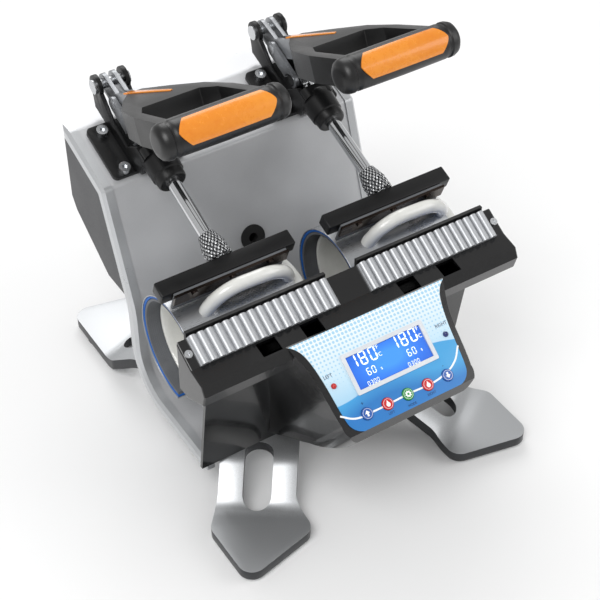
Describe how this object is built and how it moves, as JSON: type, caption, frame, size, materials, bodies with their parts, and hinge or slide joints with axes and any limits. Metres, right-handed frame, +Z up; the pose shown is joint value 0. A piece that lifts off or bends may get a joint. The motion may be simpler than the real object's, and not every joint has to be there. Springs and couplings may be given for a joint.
{
  "type": "double mug heat press",
  "caption": "Twin-station heat press for mugs: curved sheet hood, two toggle clamps with loop grips, wrap-round heater mats, mugs, control panel and splayed legs.",
  "frame": {"origin": "middle of the footprint on the table", "axes": "+X to the right as the operator faces the panel, +Y to its back, +Z up"},
  "size_m": [0.28, 0.3499, 0.3493],
  "materials": {
    "hood_enamel": "satin grey enamel",
    "rim_enamel": "bright satin edge",
    "cover_paint": "satin dark grey",
    "housing_plastic": "semi-gloss black",
    "panel_film": "printed film",
    "bezel_plastic": "gloss",
    "lcd_blue": "lit display window",
    "led_lens": "clear lens",
    "circuit_board": "solder mask",
    "guard_metal": "satin",
    "strip_black": "matt black",
    "screw_steel": "zinc plated",
    "clamp_black": "black",
    "lever_steel": "bright zinc",
    "grip_plastic": "satin moulded",
    "grip_orange": "gloss inlay",
    "rod_chrome": "polished",
    "collar_steel": "knurled",
    "bar_metal": "satin",
    "mat_silicone": "matt silicone",
    "mug_ceramic": "white glaze",
    "rubber_black": "matt",
    "socket_plastic": "gloss",
    "relay_case": "moulded",
    "leg_enamel": "satin grey enamel",
    "button_blue": "gloss",
    "button_red": "gloss",
    "button_green": "gloss"
  },
  "bodies": {
    "machine": {"hood_shell": "hood_enamel", "rim_left": "rim_enamel", "rim_right": "rim_enamel", "rear_cover": "cover_paint", "front_housing": "housing_plastic", "housing_hatch": "housing_plastic", "panel_overlay": "panel_film", "lcd_bezel": "bezel_plastic", "lcd_module": "lcd_blue", "indicator_leds": "led_lens", "control_board": "circuit_board", "guard_left": "guard_metal", "guard_right": "guard_metal", "guard_strips": "strip_black", "guard_screws": "screw_steel", "clamp_base_left": "clamp_black", "clamp_base_right": "clamp_black", "clamp_screws": "screw_steel", "pivot_pins": "screw_steel", "mat_left": "mat_silicone", "mat_right": "mat_silicone", "wire_grommet": "rubber_black", "power_inlet": "socket_plastic", "switch_frame": "socket_plastic", "relay_module": "relay_case", "leg_front_left": "leg_enamel", "leg_front_right": "leg_enamel", "leg_rear_left": "leg_enamel", "leg_rear_right": "leg_enamel", "leg_screws": "screw_steel", "foot_pads": "rubber_black"},
    "lever_left": {"lever_left": "lever_steel", "toggle_pin_left": "screw_steel", "handle_left": "grip_plastic", "handle_inlay_left": "grip_orange"},
    "link_left": {"link_left": "lever_steel"},
    "plunger_left": {"rod_left": "rod_chrome", "press_bar_left": "bar_metal", "clamp_strip_left": "strip_black", "mat_tab_left": "mat_silicone"},
    "collar_left": {"collar_left": "collar_steel"},
    "mug_left": {"mug_left": "mug_ceramic"},
    "lever_right": {"lever_right": "lever_steel", "toggle_pin_right": "screw_steel", "handle_right": "grip_plastic", "handle_inlay_right": "grip_orange"},
    "link_right": {"link_right": "lever_steel"},
    "plunger_right": {"rod_right": "rod_chrome", "press_bar_right": "bar_metal", "clamp_strip_right": "strip_black", "mat_tab_right": "mat_silicone"},
    "collar_right": {"collar_right": "collar_steel"},
    "mug_right": {"mug_right": "mug_ceramic"},
    "button_1": {"button_1": "button_blue"},
    "button_2": {"button_2": "button_red"},
    "button_3": {"button_3": "button_green"},
    "button_4": {"button_4": "button_red"},
    "button_5": {"button_5": "button_blue"},
    "power_switch": {"power_switch": "socket_plastic"}
  },
  "joints": [
    {"name": "lever_left_hinge", "type": "hinge", "parent": "machine", "child": "lever_left", "pos_m": [-0.0725, 0.14107, 0.26326], "axis": [-1, 0, 0], "range_deg": [0, 85]},
    {"name": "link_left_hinge", "type": "hinge", "parent": "lever_left", "child": "link_left", "pos_m": [-0.0725, 0.11997, 0.25687], "axis": [-1, 0, 0], "range_deg": [-125, 0]},
    {"name": "plunger_left_slide", "type": "slide", "parent": "machine", "child": "plunger_left", "axis": [0, 0.9367, 0.3502], "range_m": [0, 0.0301]},
    {"name": "collar_left_turn", "type": "hinge", "parent": "plunger_left", "child": "collar_left", "pos_m": [-0.0725, -0.01442, 0.20512], "axis": [0, 0.9367, 0.3502], "continuous": true},
    {"name": "mug_left_slide", "type": "slide", "parent": "machine", "child": "mug_left", "axis": [-1, 0, 0], "range_m": [0, 0.12]},
    {"name": "lever_right_hinge", "type": "hinge", "parent": "machine", "child": "lever_right", "pos_m": [0.0725, 0.14107, 0.26326], "axis": [-1, 0, 0], "range_deg": [0, 85]},
    {"name": "link_right_hinge", "type": "hinge", "parent": "lever_right", "child": "link_right", "pos_m": [0.0725, 0.11997, 0.25687], "axis": [-1, 0, 0], "range_deg": [-125, 0]},
    {"name": "plunger_right_slide", "type": "slide", "parent": "machine", "child": "plunger_right", "axis": [0, 0.9367, 0.3502], "range_m": [0, 0.0301]},
    {"name": "collar_right_turn", "type": "hinge", "parent": "plunger_right", "child": "collar_right", "pos_m": [0.0725, -0.01442, 0.20512], "axis": [0, 0.9367, 0.3502], "continuous": true},
    {"name": "mug_right_slide", "type": "slide", "parent": "machine", "child": "mug_right", "axis": [1, 0, 0], "range_m": [0, 0.12]},
    {"name": "button_1_press", "type": "slide", "parent": "machine", "child": "button_1", "axis": [0, 0.5878, -0.809], "range_m": [0, 0.001], "stiffness_N_per_m": 400},
    {"name": "button_2_press", "type": "slide", "parent": "machine", "child": "button_2", "axis": [0, 0.5878, -0.809], "range_m": [0, 0.001], "stiffness_N_per_m": 400},
    {"name": "button_3_press", "type": "slide", "parent": "machine", "child": "button_3", "axis": [0, 0.5878, -0.809], "range_m": [0, 0.001], "stiffness_N_per_m": 400},
    {"name": "button_4_press", "type": "slide", "parent": "machine", "child": "button_4", "axis": [0, 0.5878, -0.809], "range_m": [0, 0.001], "stiffness_N_per_m": 400},
    {"name": "button_5_press", "type": "slide", "parent": "machine", "child": "button_5", "axis": [0, 0.5878, -0.809], "range_m": [0, 0.001], "stiffness_N_per_m": 400},
    {"name": "power_switch_rock", "type": "hinge", "parent": "machine", "child": "power_switch", "pos_m": [-0.022, 0.16107, 0.21], "axis": [1, 0, 0], "range_deg": [-8, 8]}
  ],
  "couplings": [
    {"joint": "link_left_hinge", "follows": "lever_left_hinge", "ratio": -1.4638},
    {"joint": "plunger_left_slide", "follows": "lever_left_hinge", "m_per_rad": 0.020138},
    {"joint": "link_right_hinge", "follows": "lever_right_hinge", "ratio": -1.4638},
    {"joint": "plunger_right_slide", "follows": "lever_right_hinge", "m_per_rad": 0.020138}
  ]
}
